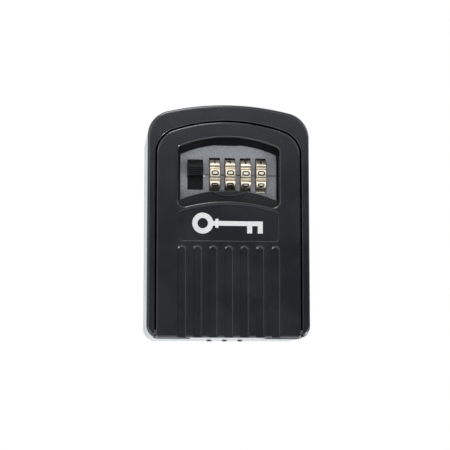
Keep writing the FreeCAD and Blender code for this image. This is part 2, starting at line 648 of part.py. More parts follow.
def latch_plate():
    left, right = BUTTON_X - ARM_HALF, BUTTON_X + ARM_HALF
    seat_left, seat_right = SPRING_X - SEAT_HALF, SPRING_X + SEAT_HALF
    seat_top = SPRING_HEAD + SEAT_THICK
    shapes = [
        box(left, right, LATCH_FRONT, LATCH_BACK, LATCH_FOOT, BEAM_TOP),
        box(left, BEAM_RIGHT, LATCH_FRONT, LATCH_BACK, BEAM_FOOT, BEAM_TOP),
        box(seat_left, left + 0.6, LATCH_FRONT, LATCH_BACK, SPRING_HEAD, seat_top),
        box(seat_left, seat_right, LATCH_FRONT, SPRING_Y + SEAT_HALF + 0.2, SPRING_HEAD, seat_top),
    ]
    half = TONGUE_WIDTH / 2
    for side in LEFT_RIGHT:
        x = side * TONGUE_X
        tongue = box(x - half, x + half, LATCH_FRONT, LATCH_BACK, BEAM_FOOT + 1.5, TONGUE_TOP)
        tip = [e for e in edges_at(tongue, LATCH_FRONT) if abs(e.BoundBox.ZMin - TONGUE_TOP) < 1e-4]
        shapes.append(tongue.makeChamfer(TONGUE_BEVEL, tip))
    body = join(shapes)
    for x, z in RIVETS:
        body = body.cut(rod_y(RIVET_RADIUS, LATCH_FRONT - NUDGE, LATCH_BACK + NUDGE, x, z))
    return body


def fence_comb():
    """A strip riveted to the latch plate, with one blade over each cam."""
    strip_back = LATCH_BACK + COMB_THICK
    shapes = [box(WHEELS[0] + 2.6, WHEELS[3] + 3.9, LATCH_BACK, strip_back, BEAM_FOOT, BEAM_TOP)]
    blade_back = AXIS_Y + FENCE_HALF
    for x in WHEELS:
        x0 = x + FLANGE_OFFSET + (FLANGE_THICK - FENCE_THICK) / 2
        x1 = x0 + FENCE_THICK
        shapes.append(box(x0, x1, LATCH_BACK, blade_back, FENCE_TIP + 4.0, BEAM_TOP))
        shapes.append(box(x0, x1, AXIS_Y - FENCE_HALF, blade_back, FENCE_TIP, FENCE_TIP + 5.0))
    body = join(shapes)
    for x, z in RIVETS[2:]:
        body = body.cut(rod_y(RIVET_RADIUS, LATCH_BACK - NUDGE, strip_back + NUDGE, x, z))
    return body


def latch_rivets():
    """Two rivets hold the button, two hold the comb."""
    button, comb = (WEB_FRONT + PLAY, LATCH_BACK), (LATCH_FRONT, LATCH_BACK + COMB_THICK)
    shapes = []
    for (x, z), (y0, y1) in zip(RIVETS, (button, button, comb, comb)):
        head = rod_y(RIVET_HEAD, y1, y1 + RIVET_HEAD_HEIGHT, x, z)
        head = head.makeFillet(0.3, edges_at(head, y1 + RIVET_HEAD_HEIGHT))
        shapes.append(rod_y(RIVET_RADIUS, y0, y1, x, z).fuse(head).removeSplitter())
    return Part.makeCompound(shapes)


def latch_spring():
    height = SPRING_HEAD - SPRING_FOOT - 2 * (SPRING_WIRE + SPRING_REST)
    helix = Part.makeHelix(height / SPRING_TURNS, height, SPRING_RADIUS)
    section = Part.Wire([Part.makeCircle(SPRING_WIRE, vec(SPRING_RADIUS, 0, 0), Y_AXIS)])
    coil = Part.Wire(helix.Edges).makePipeShell([section], True, True)
    coil = Part.Solid(coil) if coil.ShapeType != "Solid" else coil
    coil.translate(vec(SPRING_X, SPRING_Y, SPRING_FOOT + SPRING_WIRE + SPRING_REST))
    return coil


# ---- wheels and cams ----
def number_wheel(index):
    centre = WHEELS[index]
    x0, x1 = centre - WHEEL_WIDTH / 2, centre + WHEEL_WIDTH / 2
    left, right = x0 - NUDGE, x1 + NUDGE
    body = rod_x(WHEEL_RADIUS, x0, x1, AXIS_Y, AXIS_Z)
    body = body.makeChamfer(WHEEL_BEVEL, end_rings(body))
    reach = WHEEL_RADIUS + HOLLOW_REACH
    for n in range(PADS):
        # the pads start at the front, so the hollows lie half a step round
        turn = 180.0 - WHEEL_REST_TURN[index] + (n + 0.5) * 360.0 / PADS
        y, z = on_circle((AXIS_Y, AXIS_Z), reach, turn)
        body = body.cut(rod_x(HOLLOW_RADIUS, left, right, y, z))
    # bore, tooth slot on the left, free ring on the right for the shifted tooth
    room = TOOTH_RADIUS + TOOTH_ROOM
    body = body.cut(rod_x(HUB_RADIUS + FIT, left, right, AXIS_Y, AXIS_Z))
    body = body.cut(rod_x(room, centre - 0.1, right, AXIS_Y, AXIS_Z))
    half = TOOTH_HALF + 0.1
    return body.cut(box(left, centre, AXIS_Y - half, AXIS_Y + half, AXIS_Z - room, AXIS_Z))


def code_cam(index):
    centre = WHEELS[index]
    flange = centre + FLANGE_OFFSET
    hub = rod_x(HUB_RADIUS, centre - HUB_LENGTH, flange, AXIS_Y, AXIS_Z)
    disc = rod_x(CAM_RADIUS, flange, flange + FLANGE_THICK, AXIS_Y, AXIS_Z)
    gate = box(flange - 0.2, flange + FLANGE_THICK + NUDGE, AXIS_Y - GATE_HALF, AXIS_Y + GATE_HALF,
               AXIS_Z + HUB_RADIUS, AXIS_Z + CAM_RADIUS + NUDGE)
    tooth = box(centre + TOOTH_SPAN[0], centre + TOOTH_SPAN[1], AXIS_Y - TOOTH_HALF, AXIS_Y + TOOTH_HALF,
                AXIS_Z - TOOTH_RADIUS, AXIS_Z - HUB_RADIUS + 0.5)
    body = join([hub, disc.cut(gate), tooth])
    return body.cut(rod_x(SHAFT_RADIUS + FIT, centre - WHEEL_WIDTH, centre + WHEEL_WIDTH, AXIS_Y, AXIS_Z))


def cam_shaft():
    shaft = rod_x(SHAFT_RADIUS, LEVER_X[0] - 0.4, SHAFT_RIGHT, AXIS_Y, AXIS_Z)
    return shaft.makeChamfer(0.2, end_rings(shaft))


def shaft_collars():
    """Two retaining rings: left of the first cam and right of the last."""
    shapes = []
    right = WHEELS[3] + FLANGE_OFFSET + FLANGE_THICK + FIT
    for x0 in (WHEELS[0] - HUB_LENGTH - FIT - COLLAR_THICK, right):
        ring = rod_x(COLLAR_RADIUS, x0, x0 + COLLAR_THICK, AXIS_Y, AXIS_Z)
        shapes.append(ring.cut(rod_x(SHAFT_RADIUS, x0 - NUDGE, x0 + 2 * NUDGE, AXIS_Y, AXIS_Z)))
    return Part.makeCompound(shapes)


def reset_lever():
    x0, x1 = LEVER_X
    boss = rod_x(LEVER_BOSS, x0, x1, AXIS_Y, AXIS_Z)
    arm = box(x0, x1, AXIS_Y + 1.0, HOUSING_BACK + COVER_THICK + LEVER_PROUD,
              AXIS_Z - LEVER_HALF, AXIS_Z + LEVER_HALF)
    body = boss.fuse(arm.makeFillet(0.5, edges_at(arm, arm.BoundBox.YMax)))
    return body.cut(rod_x(SHAFT_RADIUS, x0 - NUDGE, x1 + NUDGE, AXIS_Y, AXIS_Z))


# ---- screws ----
def housing_screws():
    return Part.makeCompound([
        screw(x, z, back + 3.6, back - 5.5, 2.2, 1.0, 1.6) for x, z, back in screw_posts()[:4]
    ])


def retainer_screws():
    return Part.makeCompound([
        screw(x, z, back + 2.0, back - 1.5, 2.0, 1.0, 1.2) for x, z, back in screw_posts()[4:]
    ])


def cover_screws():
    back = HOUSING_BACK + COVER_THICK
    return Part.makeCompound([screw(x, z, back + 1.2, back - 6.0, 1.8, 0.8, 1.2) for x, z in COVER_POSTS])


def main():
    os.makedirs("parts", exist_ok=True)
    builders = [
        rear_casing, hinge_pin, key_hook,
        door_shell, key_emblem, dial_fascia, index_marker, mechanism_housing, mechanism_cover,
        wheel_separators, detent_spring, dial_shutter, shutter_retainer,
        release_button, latch_plate, fence_comb, latch_rivets, latch_spring,
        cam_shaft, shaft_collars, reset_lever,
        housing_screws, retainer_screws, cover_screws,
    ]
    for build in builders:
        export(build.__name__, build())
    for index in range(len(WHEELS)):
        export("number_wheel_%d" % (index + 1), number_wheel(index))
        export("code_cam_%d" % (index + 1), code_cam(index))


main()
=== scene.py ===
import json
import math

import bmesh
import bpy
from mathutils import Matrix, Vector


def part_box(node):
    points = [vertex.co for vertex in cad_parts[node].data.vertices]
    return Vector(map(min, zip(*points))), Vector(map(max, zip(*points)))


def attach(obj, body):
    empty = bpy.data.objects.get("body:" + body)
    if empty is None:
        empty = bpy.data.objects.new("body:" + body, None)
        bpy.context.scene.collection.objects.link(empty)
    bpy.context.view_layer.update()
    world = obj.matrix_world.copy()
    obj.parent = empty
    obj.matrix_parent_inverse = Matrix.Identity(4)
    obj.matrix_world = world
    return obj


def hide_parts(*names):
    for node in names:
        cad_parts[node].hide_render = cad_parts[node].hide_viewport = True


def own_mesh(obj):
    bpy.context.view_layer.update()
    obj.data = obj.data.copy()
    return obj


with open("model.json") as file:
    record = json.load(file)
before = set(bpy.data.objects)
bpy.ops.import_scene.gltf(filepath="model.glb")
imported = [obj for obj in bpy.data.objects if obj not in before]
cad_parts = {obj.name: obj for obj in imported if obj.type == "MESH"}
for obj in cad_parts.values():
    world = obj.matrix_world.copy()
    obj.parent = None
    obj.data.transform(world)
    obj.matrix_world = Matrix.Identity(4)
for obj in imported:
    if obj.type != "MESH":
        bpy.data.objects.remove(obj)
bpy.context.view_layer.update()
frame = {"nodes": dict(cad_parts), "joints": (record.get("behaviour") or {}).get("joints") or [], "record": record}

mm = 0.001
nodes = frame["nodes"]
jointPlace = {joint["name"]: joint.get("pos_m") for joint in frame["joints"]}
print("frame loaded:", len(nodes), "nodes")


# shader helpers

noiseRoughness = 0.55


def newNode(tree, kind, at, **values):
    node = tree.nodes.new(kind)
    node.location = at
    for name, value in values.items():
        setattr(node, name, value)
    return node


def feed(tree, socket, value):
    if isinstance(value, bpy.types.NodeSocket):
        tree.links.new(value, socket)
    elif isinstance(value, (tuple, list)) and socket.type == "RGBA":
        socket.default_value = (*value[:3], 1.0)
    else:
        socket.default_value = value


def mathNode(tree, operation, first, second, at, clamp=False):
    node = newNode(tree, "ShaderNodeMath", at, operation=operation, use_clamp=clamp)
    feed(tree, node.inputs[0], first)
    feed(tree, node.inputs[1], second)
    return node.outputs[0]


def mixColour(tree, factor, first, second, at):
    node = newNode(tree, "ShaderNodeMix", at, data_type="RGBA")
    feed(tree, node.inputs[0], factor)
    feed(tree, node.inputs[6], first)
    feed(tree, node.inputs[7], second)
    return node.outputs[2]


def remap(tree, value, low, high, at, toLow=0.0, toHigh=1.0):
    node = newNode(tree, "ShaderNodeMapRange", at, interpolation_type="SMOOTHSTEP")
    feed(tree, node.inputs["Value"], value)
    for name, number in (("From Min", low), ("From Max", high), ("To Min", toLow), ("To Max", toHigh)):
        feed(tree, node.inputs[name], number)
    return node.outputs["Result"]


def noise(tree, vector, perMetre, detail, at):
    node = newNode(tree, "ShaderNodeTexNoise", at)
    tree.links.new(vector, node.inputs["Vector"])
    feed(tree, node.inputs["Scale"], perMetre)
    feed(tree, node.inputs["Detail"], detail)
    feed(tree, node.inputs["Roughness"], noiseRoughness)
    return node.outputs["Fac"]


def startGroup(name, inputs, outputs):
    tree = bpy.data.node_groups.new(name, "ShaderNodeTree")
    for label, kind, value in inputs:
        tree.interface.new_socket(label, in_out="INPUT", socket_type=kind).default_value = value
    for label, kind in outputs:
        tree.interface.new_socket(label, in_out="OUTPUT", socket_type=kind)
    return tree, newNode(tree, "NodeGroupInput", (-1100, 0)), newNode(tree, "NodeGroupOutput", (900, 0))


# edge wear: 1 along worn outer edges, broken up so that no edge is evenly bare

edgeWearShape = {"turnFrom": 0.01, "turnTo": 0.16, "breakFrom": 0.38, "breakTo": 0.66, "least": 0.25}


def buildEdgeWear(shape):
    tree, given, out = startGroup(
        "edgeWear",
        [("Width", "NodeSocketFloat", 0.0005), ("Amount", "NodeSocketFloat", 0.5),
         ("Breakup", "NodeSocketFloat", 900.0)],
        [("Mask", "NodeSocketFloat"), ("Rounded Normal", "NodeSocketVector")])
    bevel = newNode(tree, "ShaderNodeBevel", (-850, 200), samples=6)
    tree.links.new(given.outputs["Width"], bevel.inputs["Radius"])
    flat = newNode(tree, "ShaderNodeNewGeometry", (-850, 0))
    dot = newNode(tree, "ShaderNodeVectorMath", (-650, 120), operation="DOT_PRODUCT")
    tree.links.new(bevel.outputs["Normal"], dot.inputs[0])
    tree.links.new(flat.outputs["Normal"], dot.inputs[1])
    turned = mathNode(tree, "SUBTRACT", 1.0, dot.outputs["Value"], (-450, 120))
    edge = remap(tree, turned, shape["turnFrom"], shape["turnTo"], (-250, 120))
    place = newNode(tree, "ShaderNodeTexCoord", (-850, -250))
    broken = noise(tree, place.outputs["Object"], given.outputs["Breakup"], 4.0, (-650, -250))
    broken = remap(tree, broken, shape["breakFrom"], shape["breakTo"], (-450, -250), shape["least"], 1.0)
    mask = mathNode(tree, "MULTIPLY", edge, broken, (-50, 0))
    mask = mathNode(tree, "MULTIPLY", mask, given.outputs["Amount"], (150, 0), clamp=True)
    tree.links.new(mask, out.inputs["Mask"])
    tree.links.new(bevel.outputs["Normal"], out.inputs["Rounded Normal"])
    return tree


# fine surface: a height for bumps, and a slow patchiness for colour and gloss

def buildSurfaceGrain():
    tree, given, out = startGroup(
        "surfaceGrain",
        [("Fine", "NodeSocketFloat", 2600.0), ("Patch", "NodeSocketFloat", 60.0),
         ("Stretch", "NodeSocketVector", (1.0, 1.0, 1.0))],
        [("Height", "NodeSocketFloat"), ("Patchiness", "NodeSocketFloat")])
    place = newNode(tree, "ShaderNodeTexCoord", (-900, 150))
    stretch = newNode(tree, "ShaderNodeVectorMath", (-700, 150), operation="MULTIPLY")
    tree.links.new(place.outputs["Object"], stretch.inputs[0])
    tree.links.new(given.outputs["Stretch"], stretch.inputs[1])
    fine = noise(tree, stretch.outputs[0], given.outputs["Fine"], 3.0, (-450, 200))
    patch = noise(tree, place.outputs["Object"], given.outputs["Patch"], 5.0, (-450, -100))
    tree.links.new(fine, out.inputs["Height"])
    tree.links.new(patch, out.inputs["Patchiness"])
    return tree


edgeWearGroup = buildEdgeWear(edgeWearShape)
surfaceGrainGroup = buildSurfaceGrain()


def placeGroup(tree, group, at, **values):
    node = newNode(tree, "ShaderNodeGroup", at, node_tree=group)
    for label, value in values.items():
        feed(tree, node.inputs[label], value)
    return node


def startMaterial(name):
    material = bpy.data.materials.new(name)
    material.use_nodes = True
    tree = material.node_tree
    return material, tree, tree.nodes["Principled BSDF"]


def addBump(tree, shader, height, strength, distance, normal):
    bump = newNode(tree, "ShaderNodeBump", (-250, -350))
    bump.inputs["Strength"].default_value = strength
    bump.inputs["Distance"].default_value = distance
    tree.links.new(height, bump.inputs["Height"])
    tree.links.new(normal, bump.inputs["Normal"])
    tree.links.new(bump.outputs["Normal"], shader.inputs["Normal"])


# one recipe covers every plain finish: base colour, patchy gloss, grain bump, worn edges

def makeFinish(name, look):
    material, tree, shader = startMaterial(name)
    wear = placeGroup(tree, edgeWearGroup, (-1100, 200), Width=look["edge"], Amount=look["wear"],
                      Breakup=look.get("breakup", 900.0))
    grain = placeGroup(tree, surfaceGrainGroup, (-1100, -100), Fine=look["fine"],
                       Patch=look.get("patch", 60.0), Stretch=look.get("stretch", (1.0, 1.0, 1.0)))
    patch = remap(tree, grain.outputs["Patchiness"], 0.35, 0.68, (-850, -100))
    colour = mixColour(tree, patch, look["colour"], look["patchColour"], (-650, 150))
    colour = mixColour(tree, wear.outputs["Mask"], colour, look["wornColour"], (-420, 200))
    tree.links.new(colour, shader.inputs["Base Color"])
    rough = remap(tree, patch, 0.0, 1.0, (-650, -50), look["rough"], look["rough"] + look["roughSpread"])
    tree.links.new(rough, shader.inputs["Roughness"])
    shader.inputs["Metallic"].default_value = look.get("metal", 0.0)
    shader.inputs["Specular IOR Level"].default_value = look.get("specular", 0.5)
    shader.inputs["Coat Weight"].default_value = look.get("coat", 0.0)
    shader.inputs["Coat Roughness"].default_value = look.get("coatRough", 0.15)
    addBump(tree, shader, grain.outputs["Height"], look["bump"], look["bumpDepth"],
            wear.outputs["Rounded Normal"])
    material.diffuse_color = (*look["colour"], 1.0)
    return material


finishLooks = {
    "castingPaint": dict(
        colour=(0.0040, 0.0046, 0.0066), patchColour=(0.0050, 0.0056, 0.0080),
        wornColour=(0.030, 0.033, 0.040), rough=0.19, roughSpread=0.04, edge=0.0005, wear=0.45,
        fine=1500.0, bump=0.10, bumpDepth=0.00010, breakup=420.0, coat=0.3, coatRough=0.12),
    "shutterPlastic": dict(
        colour=(0.0028, 0.0030, 0.0034), patchColour=(0.0040, 0.0042, 0.0046),
        wornColour=(0.016, 0.016, 0.018), rough=0.30, roughSpread=0.08, edge=0.0004, wear=0.4,
        fine=3000.0, bump=0.08, bumpDepth=0.00006, specular=0.30),
    "buttonPlastic": dict(
        colour=(0.0022, 0.0023, 0.0026), patchColour=(0.0032, 0.0033, 0.0036),
        wornColour=(0.014, 0.014, 0.015), rough=0.28, roughSpread=0.10, edge=0.00025, wear=0.45,
        fine=3600.0, bump=0.08, bumpDepth=0.00005, specular=0.20),
    "housingPlastic": dict(
        colour=(0.0030, 0.0032, 0.0035), patchColour=(0.0046, 0.0048, 0.0052),
        wornColour=(0.016, 0.016, 0.017), rough=0.34, roughSpread=0.10, edge=0.0004, wear=0.3,
        fine=2400.0, bump=0.16, bumpDepth=0.00008, specular=0.30),
    "platedSteel": dict(
        colour=(0.50, 0.51, 0.53), patchColour=(0.42, 0.43, 0.44), wornColour=(0.70, 0.70, 0.72),
        rough=0.30, roughSpread=0.14, metal=1.0, edge=0.0003, wear=0.5, fine=1200.0,
        stretch=(0.15, 1.0, 1.0), bump=0.12, bumpDepth=0.00005),
    "springSteel": dict(
        colour=(0.33, 0.33, 0.34), patchColour=(0.26, 0.26, 0.27), wornColour=(0.5, 0.5, 0.52),
        rough=0.28, roughSpread=0.12, metal=1.0, edge=0.0002, wear=0.3, fine=2600.0, bump=0.08,
        bumpDepth=0.00004),
    "pinSteel": dict(
        colour=(0.16, 0.16, 0.165), patchColour=(0.11, 0.11, 0.115), wornColour=(0.24, 0.24, 0.25),
        rough=0.42, roughSpread=0.14, metal=1.0, edge=0.0002, wear=0.3, fine=1800.0, bump=0.10,
        bumpDepth=0.00004),
    "camBrass": dict(
        colour=(0.62, 0.44, 0.20), patchColour=(0.50, 0.35, 0.15), wornColour=(0.78, 0.60, 0.32),
        rough=0.30, roughSpread=0.14, metal=1.0, edge=0.0003, wear=0.5, fine=1500.0,
        stretch=(4.0, 1.0, 1.0), bump=0.10, bumpDepth=0.00005),
    "emblemSilver": dict(
        colour=(0.50, 0.495, 0.485), patchColour=(0.44, 0.435, 0.43), wornColour=(0.74, 0.74, 0.73),
        rough=0.40, roughSpread=0.12, metal=0.30, edge=0.0003, wear=0.6, fine=2600.0, bump=0.15,
        bumpDepth=0.00006, breakup=1500.0),
    "markerPaint": dict(
        colour=(0.78, 0.78, 0.75), patchColour=(0.70, 0.70, 0.67), wornColour=(0.85, 0.85, 0.83),
        rough=0.45, roughSpread=0.1, edge=0.0001, wear=0.3, fine=4000.0, bump=0.2,
        bumpDepth=0.00005),
    "digitEnamel": dict(
        colour=(0.014, 0.010, 0.007), patchColour=(0.022, 0.016, 0.011),
        wornColour=(0.05, 0.036, 0.022), rough=0.62, roughSpread=0.15, edge=0.00005, wear=0.2,
        fine=5000.0, bump=0.2, bumpDepth=0.00003, specular=0.25),
}
finishes = {name: makeFinish(name, look) for name, look in finishLooks.items()}


# grey lacquer with fine light and dark flecks

fasciaLook = {
    "dark": (0.170, 0.171, 0.178), "light": (0.205, 0.207, 0.215), "fleck": (0.29, 0.29, 0.30),
    "fleckSize": 4200.0, "fleckShare": 0.26, "roughLow": 0.38, "roughHigh": 0.54, "metal": 0.10,
    "specular": 0.25, "edge": 0.0003, "wear": 0.5, "breakup": 1200.0, "fine": 2200.0,
    "patch": 900.0, "bump": 0.25, "bumpDepth": 0.00008,
}


def makeFasciaLacquer(look):
    material, tree, shader = startMaterial("fasciaLacquer")
    wear = placeGroup(tree, edgeWearGroup, (-1100, 300), Width=look["edge"], Amount=look["wear"],
                      Breakup=look["breakup"])
    grain = placeGroup(tree, surfaceGrainGroup, (-1100, 0), Fine=look["fine"], Patch=look["patch"])
    cells = newNode(tree, "ShaderNodeTexVoronoi", (-1100, -250), feature="F1")
    place = newNode(tree, "ShaderNodeTexCoord", (-1300, -250))
    tree.links.new(place.outputs["Object"], cells.inputs["Vector"])
    cells.inputs["Scale"].default_value = look["fleckSize"]
    split = newNode(tree, "ShaderNodeSeparateColor", (-900, -250))
    tree.links.new(cells.outputs["Color"], split.inputs[0])
    blotch = remap(tree, grain.outputs["Patchiness"], 0.36, 0.64, (-850, 0))
    body = mixColour(tree, blotch, look["dark"], look["light"], (-650, 0))
    fleck = mathNode(tree, "LESS_THAN", split.outputs[0], look["fleckShare"], (-700, -250))
    bright = mathNode(tree, "MULTIPLY", fleck, split.outputs[1], (-520, -250))
    body = mixColour(tree, bright, body, look["fleck"], (-350, 0))
    body = mixColour(tree, wear.outputs["Mask"], body, look["fleck"], (-200, 150))
    tree.links.new(body, shader.inputs["Base Color"])
    rough = remap(tree, split.outputs[2], 0.0, 1.0, (-500, -420), look["roughLow"], look["roughHigh"])
    tree.links.new(rough, shader.inputs["Roughness"])
    shader.inputs["Metallic"].default_value = look["metal"]
    shader.inputs["Specular IOR Level"].default_value = look["specular"]
    addBump(tree, shader, grain.outputs["Height"], look["bump"], look["bumpDepth"],
            wear.outputs["Rounded Normal"])
    material.diffuse_color = (*look["dark"], 1.0)
    return material


# wheel brass: streaks across the rim, hollows painted darker and browner than the pads as painted shade, and a
# near-black painted shadow in the steps up to the pads

wheelLook = {
    # the hollows take a darker brass than the pads, as painted shade
    "pad": (0.86, 0.77, 0.62), "hollow": (0.50, 0.42, 0.32), "tarnish": (0.30, 0.22, 0.14),
    # the near-black step colour and its strength paint the shadow in the steps up to the pads
    "stepShadowColour": (0.05, 0.035, 0.02), "worn": (0.96, 0.90, 0.78), "stepShadowGain": 3.6, "tarnishMost": 0.35,
    "rough": 0.25, "roughSpread": 0.16, "metal": 1.0, "edge": 0.00025, "wear": 0.7, "breakup": 1600.0,
    "fine": 900.0, "patch": 500.0, "stretch": (0.3, 5.0, 5.0), "bump": 0.25, "bumpDepth": 0.00005,
    "padFloor": 10.25 * mm, "hollowRadius": 9.45 * mm,
}


def makeWheelBrass(look, axis):
    material, tree, shader = startMaterial("wheelBrass")
    wear = placeGroup(tree, edgeWearGroup, (-1300, 300), Width=look["edge"], Amount=look["wear"],
                      Breakup=look["breakup"])
    grain = placeGroup(tree, surfaceGrainGroup, (-1300, -100), Fine=look["fine"], Patch=look["patch"],
                       Stretch=look["stretch"])
    place = newNode(tree, "ShaderNodeTexCoord", (-1500, -350))
    split = newNode(tree, "ShaderNodeSeparateXYZ", (-1300, -350))
    tree.links.new(place.outputs["Object"], split.inputs[0])
    across = mathNode(tree, "SUBTRACT", split.outputs["Y"], axis[1], (-1100, -300))
    upward = mathNode(tree, "SUBTRACT", split.outputs["Z"], axis[2], (-1100, -450))
    across = mathNode(tree, "MULTIPLY", across, across, (-920, -300))
    upward = mathNode(tree, "MULTIPLY", upward, upward, (-920, -450))
    square = mathNode(tree, "ADD", across, upward, (-740, -350))
    radius = mathNode(tree, "SQRT", square, 0.0, (-560, -350))
    # pads keep the light brass; below the pad radius the hollows turn to the darker painted-shade brass
    padMask = remap(tree, radius, look["hollowRadius"], look["padFloor"], (-380, -350))
    patch = remap(tree, grain.outputs["Patchiness"], 0.40, 0.72, (-1050, -100), 0.0, look["tarnishMost"])
    colour = mixColour(tree, padMask, look["hollow"], look["pad"], (-200, 0))
    # where the pads meet the hollows, a near-black painted shadow darkens the step
    offPad = mathNode(tree, "SUBTRACT", 1.0, padMask, (-200, -400))
    stepShadowMask = mathNode(tree, "MULTIPLY", offPad, padMask, (0, -400))
    stepShadowMask = mathNode(tree, "MULTIPLY", stepShadowMask, look["stepShadowGain"], (160, -400), clamp=True)
    colour = mixColour(tree, patch, colour, look["tarnish"], (-20, 80))
    colour = mixColour(tree, stepShadowMask, colour, look["stepShadowColour"], (70, 0))
    colour = mixColour(tree, wear.outputs["Mask"], colour, look["worn"], (160, 150))
    tree.links.new(colour, shader.inputs["Base Color"])
    rough = remap(tree, grain.outputs["Height"], 0.3, 0.7, (-200, -200), look["rough"],
                  look["rough"] + look["roughSpread"])
    tree.links.new(rough, shader.inputs["Roughness"])
    shader.inputs["Metallic"].default_value = look["metal"]
    shader.location = (400, 0)
    addBump(tree, shader, grain.outputs["Height"], look["bump"], look["bumpDepth"],
            wear.outputs["Rounded Normal"])
    material.diffuse_color = (*look["pad"], 1.0)
    return material


finishes["fasciaLacquer"] = makeFasciaLacquer(fasciaLook)
finishes["wheelBrass"] = makeWheelBrass(wheelLook, jointPlace["wheel_1_spin"])
print("finishes made:", len(finishes))


# the CAD nodes take their finishes

slotFinish = {
    "casing_paint": "castingPaint", "door_paint": "castingPaint", "fascia_grey": "fasciaLacquer",
    "black_plastic": "housingPlastic", "button_plastic": "buttonPlastic", "wheel_brass": "wheelBrass",
    "cam_brass": "camBrass", "plain_steel": "platedSteel", "spring_steel": "springSteel",
    "emblem_silver": "emblemSilver", "marker_white": "markerPaint",
}
nodeFinish = {"dial_shutter": "shutterPlastic", "hinge_pin": "pinSteel"}

for part in frame["record"]["subparts"]:
    name = part["node"]
    finish = finishes[nodeFinish.get(name, slotFinish[part["material_slot"]])]
    mesh = nodes[name].data
    if mesh.materials:
        for index in range(len(mesh.materials)):
            mesh.materials[index] = finish
    else:
        mesh.materials.append(finish)


# number wheels: each pad carries its number, filled with dark enamel

digitLook = {
    "width": 3.9 * mm, "height": 2.6 * mm, "line": 0.70 * mm, "proud": 0.03 * mm, "sunk": 0.12 * mm,
    "radius": 10.4 * mm,
    "restTurn": (3.6, 4.4, 3.0, 4.0),   # degrees, one per wheel
    "squareness": 0.62,                 # below 1, the rings fill their corners
    "cornerLimit": 0.55, "endReach": 0.3, "legStep": 0.35,
}


def bowl(left, right, low, high, start=0.0, sweep=360.0, steps=28):
    middle = Vector(((left + right) / 2, (low + high) / 2))
    half = (right - left) / 2, (high - low) / 2
    points = []
    for step in range(steps + 1):
        turn = math.radians(start + sweep * step / steps)
        c, s = math.cos(turn), math.sin(turn)
        x = math.copysign(abs(c) ** digitLook["squareness"], c) * half[0]
        y = math.copysign(abs(s) ** digitLook["squareness"], s) * half[1]
        points.append((middle.x + x, middle.y + y))
    return points


# each number as pen strokes in a cell from (-1, -1) to (1, 1)
digitStrokes = {
    0: [bowl(-1, 1, -1, 1)],
    1: [[(-0.45, 0.55), (0.05, 1.0), (0.05, -1.0)]],
    2: [bowl(-0.9, 0.9, -0.05, 1, 165, -195, 18) + [(-0.95, -1.0), (0.95, -1.0)]],
    3: [bowl(-0.9, 0.85, 0.02, 1, 155, -245, 18), bowl(-0.95, 0.95, -1, 0.02, 90, -245, 18)],
    4: [[(0.45, -1.0), (0.45, 1.0), (-1.0, -0.38), (1.0, -0.38)]],
    5: [[(0.85, 1.0), (-0.75, 1.0), (-0.85, 0.12)] + bowl(-0.95, 0.95, -1, 0.28, 120, -275, 18)],
    6: [[(0.7, 0.95), (-0.1, 0.85), (-0.85, 0.2)] + bowl(-0.95, 0.95, -1, 0.2, 180, 360, 24)],
    7: [[(-0.95, 1.0), (0.95, 1.0), (-0.25, -1.0)]],
    8: [bowl(-0.85, 0.85, 0.02, 1), bowl(-0.98, 0.98, -1, 0.02)],
    9: [[(-0.7, -0.95), (0.1, -0.85), (0.85, -0.2)] + bowl(-0.95, 0.95, -0.2, 1, 0, 360, 24)],
}


def strokeRibbon(mesh, points, line, place, closed):
    # a ribbon of even width along the points, with its own thickness, set down by place(x, y, height)
    flat = [Vector(p) for p in points]
    if closed:
        flat = flat[:-1]
    count = len(flat)
    rows = []
    for index, point in enumerate(flat):
        before = flat[index - 1] if index or closed else point
        after = flat[(index + 1) % count] if index < count - 1 or closed else point
        away = (point - before).normalized() if before != point else (after - point).normalized()
        onward = (after - point).normalized() if after != point else away
        mean = away + onward
        mean = mean.normalized() if mean.length > 1e-6 else away
        side = Vector((-mean.y, mean.x))
        reach = line / 2 / max(digitLook["cornerLimit"], side.dot(Vector((-away.y, away.x))))
        if not closed and index in (0, count - 1):
            point = point + (away if index else -onward) * line * digitLook["endReach"]
        corners = [point + side * reach, point - side * reach]
        rows.append([mesh.verts.new(place(c.x, c.y, h)) for h in (digitLook["proud"], -digitLook["sunk"])
                     for c in corners])
    pairs = zip(rows, rows[1:] + rows[:1]) if closed else zip(rows, rows[1:])
    for a, b in pairs:
        for first, second in ((0, 1), (1, 3), (3, 2), (2, 0)):
            mesh.faces.new((a[first], a[second], b[second], b[first]))
    if not closed:
        for row in (rows[0], rows[-1]):
            mesh.faces.new((row[0], row[1], row[3], row[2]))


def smooth(points):
    # ring-like strokes keep their points; long straight legs get more, so that they follow the wheel
    finer = []
    for a, b in zip(points, points[1:]):
        span = math.hypot(b[0] - a[0], b[1] - a[1])
        parts = max(1, int(span / digitLook["legStep"]))
        finer += [(a[0] + (b[0] - a[0]) * n / parts, a[1] + (b[1] - a[1]) * n / parts)
                  for n in range(parts)]
    return finer + [points[-1]]


